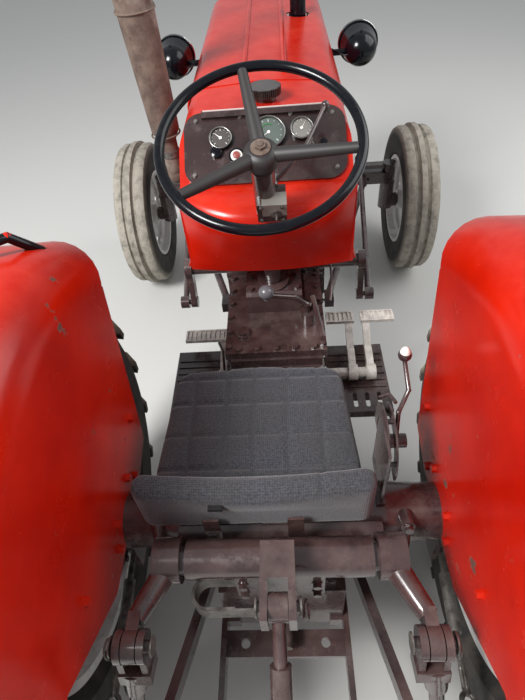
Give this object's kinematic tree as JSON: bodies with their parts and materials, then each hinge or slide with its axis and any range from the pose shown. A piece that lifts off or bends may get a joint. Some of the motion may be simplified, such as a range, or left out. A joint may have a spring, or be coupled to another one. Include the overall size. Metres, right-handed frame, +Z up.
{
  "type": "vintage_tractor",
  "caption": "Old red farm tractor with open seat, black steering wheel, lugged rear tyres, round lamps, side exhaust and a rear lifting linkage",
  "frame": {"origin": "On the ground under the middle of the bounding box", "axes": "x to the tractor's right, y to the front, z up"},
  "size_m": [1.528, 3.016, 1.7704],
  "materials": {
    "red_paint": "glossy red paint, chipped and rusty at the edges",
    "chassis_paint": "thick purple-brown paint over cast metal",
    "black_gloss": "glossy black enamel",
    "rusty_steel": "rusty brown",
    "silver_rim": "dull silver paint with dirt",
    "tyre_rubber": "worn rubber with dust in the tread",
    "seat_cloth": "grey woven cover",
    "bare_steel": "worn bare steel"
  },
  "bodies": {
    "chassis": {"engine_block": "chassis_paint", "front_bolster": "chassis_paint", "radiator_grille": "red_paint", "bonnet": "red_paint", "tank_cowl": "red_paint", "dash_panel": "chassis_paint", "dash_gauges": "black_gloss", "fuel_cap": "chassis_paint", "exhaust": "rusty_steel", "intake_stack": "black_gloss", "headlamps": "black_gloss", "front_axle": "chassis_paint", "radius_rods": "chassis_paint", "gearbox": "chassis_paint", "gear_levers": "chassis_paint", "rear_housing": "chassis_paint", "axle_trumpets": "chassis_paint", "fender_left": "red_paint", "fender_right": "red_paint", "footplates": "chassis_paint", "pedals": "chassis_paint", "seat_frame": "chassis_paint", "seat_cushion": "seat_cloth", "seat_back": "seat_cloth", "lift_quadrant": "chassis_paint", "steering_column": "chassis_paint", "drawbar_frame": "chassis_paint", "strap_loop": "bare_steel", "pto_shaft": "bare_steel"},
    "steering_wheel": {"steering_wheel": "black_gloss"},
    "knuckle_left": {"knuckle_left": "chassis_paint"},
    "knuckle_right": {"knuckle_right": "chassis_paint"},
    "front_wheel_left": {"front_rim_left": "silver_rim", "front_tyre_left": "tyre_rubber"},
    "front_wheel_right": {"front_rim_right": "silver_rim", "front_tyre_right": "tyre_rubber"},
    "rear_wheel_left": {"rear_rim_left": "silver_rim", "rear_tyre_left": "tyre_rubber"},
    "rear_wheel_right": {"rear_rim_right": "silver_rim", "rear_tyre_right": "tyre_rubber"},
    "drop_arm_left": {"drop_arm_left": "chassis_paint"},
    "drop_arm_right": {"drop_arm_right": "chassis_paint"},
    "drag_link_left": {"drag_link_left": "chassis_paint"},
    "drag_link_right": {"drag_link_right": "chassis_paint"},
    "lift_arms": {"lift_arms": "chassis_paint"},
    "lift_rod_left": {"lift_rod_left": "chassis_paint"},
    "lift_rod_right": {"lift_rod_right": "chassis_paint"},
    "lower_link_left": {"lower_link_left": "chassis_paint", "check_chain_left": "bare_steel"},
    "lower_link_right": {"lower_link_right": "chassis_paint", "check_chain_right": "bare_steel"},
    "top_link": {"top_link": "chassis_paint"}
  },
  "joints": [
    {"name": "steering_wheel_turn", "type": "hinge", "parent": "chassis", "child": "steering_wheel", "pos_m": [0, -0.23, 1.298], "axis": [0, -0.3987, 0.9171], "range_deg": [-600, 600]},
    {"name": "knuckle_left_steer", "type": "hinge", "parent": "chassis", "child": "knuckle_left", "pos_m": [-0.57, 1.146, 0.5], "axis": [0, 0, 1], "range_deg": [-32, 32]},
    {"name": "front_wheel_left_spin", "type": "hinge", "parent": "knuckle_left", "child": "front_wheel_left", "pos_m": [-0.684, 1.146, 0.362], "axis": [1, 0, 0], "continuous": true},
    {"name": "rear_wheel_left_spin", "type": "hinge", "parent": "chassis", "child": "rear_wheel_left", "pos_m": [-0.605, -0.684, 0.595], "axis": [1, 0, 0], "continuous": true},
    {"name": "drop_arm_left_swing", "type": "hinge", "parent": "chassis", "child": "drop_arm_left", "pos_m": [-0.296, 0.166, 0.722], "axis": [1, 0, 0], "range_deg": [-35, 35]},
    {"name": "drag_link_left_level", "type": "hinge", "parent": "drop_arm_left", "child": "drag_link_left", "pos_m": [-0.33, 0.146, 0.58647], "axis": [1, 0, 0], "range_deg": [-35, 35]},
    {"name": "knuckle_right_steer", "type": "hinge", "parent": "chassis", "child": "knuckle_right", "pos_m": [0.57, 1.146, 0.5], "axis": [0, 0, 1], "range_deg": [-32, 32]},
    {"name": "front_wheel_right_spin", "type": "hinge", "parent": "knuckle_right", "child": "front_wheel_right", "pos_m": [0.684, 1.146, 0.362], "axis": [1, 0, 0], "continuous": true},
    {"name": "rear_wheel_right_spin", "type": "hinge", "parent": "chassis", "child": "rear_wheel_right", "pos_m": [0.605, -0.684, 0.595], "axis": [1, 0, 0], "continuous": true},
    {"name": "drop_arm_right_swing", "type": "hinge", "parent": "chassis", "child": "drop_arm_right", "pos_m": [0.296, 0.166, 0.722], "axis": [1, 0, 0], "range_deg": [-35, 35]},
    {"name": "drag_link_right_level", "type": "hinge", "parent": "drop_arm_right", "child": "drag_link_right", "pos_m": [0.33, 0.146, 0.58647], "axis": [1, 0, 0], "range_deg": [-35, 35]},
    {"name": "lift_arms_raise", "type": "hinge", "parent": "chassis", "child": "lift_arms", "pos_m": [0, -0.846, 0.738], "axis": [-1, 0, 0], "range_deg": [-25, 30]},
    {"name": "lower_link_left_raise", "type": "hinge", "parent": "chassis", "child": "lower_link_left", "pos_m": [-0.165, -0.644, 0.385], "axis": [-1, 0, 0], "range_deg": [-9, 11]},
    {"name": "lift_rod_left_swing", "type": "hinge", "parent": "lift_arms", "child": "lift_rod_left", "pos_m": [-0.277, -1.006, 0.743], "axis": [-1, 0, 0], "range_deg": [-32, 27]},
    {"name": "lower_link_right_raise", "type": "hinge", "parent": "chassis", "child": "lower_link_right", "pos_m": [0.165, -0.644, 0.385], "axis": [-1, 0, 0], "range_deg": [-9, 11]},
    {"name": "lift_rod_right_swing", "type": "hinge", "parent": "lift_arms", "child": "lift_rod_right", "pos_m": [0.277, -1.006, 0.743], "axis": [-1, 0, 0], "range_deg": [-32, 27]},
    {"name": "top_link_raise", "type": "hinge", "parent": "chassis", "child": "top_link", "pos_m": [0, -0.959, 0.8], "axis": [-1, 0, 0], "range_deg": [0, 70]}
  ],
  "couplings": [
    {"joint": "knuckle_left_steer", "follows": "steering_wheel_turn", "ratio": 0.05},
    {"joint": "drop_arm_left_swing", "follows": "steering_wheel_turn", "ratio": 0.055},
    {"joint": "drag_link_left_level", "follows": "steering_wheel_turn", "ratio": -0.055},
    {"joint": "knuckle_right_steer", "follows": "steering_wheel_turn", "ratio": 0.05},
    {"joint": "drop_arm_right_swing", "follows": "steering_wheel_turn", "ratio": -0.055},
    {"joint": "drag_link_right_level", "follows": "steering_wheel_turn", "ratio": 0.055},
    {"joint": "lower_link_left_raise", "follows": "lift_arms_raise", "ratio": 0.338},
    {"joint": "lift_rod_left_swing", "follows": "lift_arms_raise", "ratio": -1},
    {"joint": "lower_link_right_raise", "follows": "lift_arms_raise", "ratio": 0.338},
    {"joint": "lift_rod_right_swing", "follows": "lift_arms_raise", "ratio": -1}
  ]
}
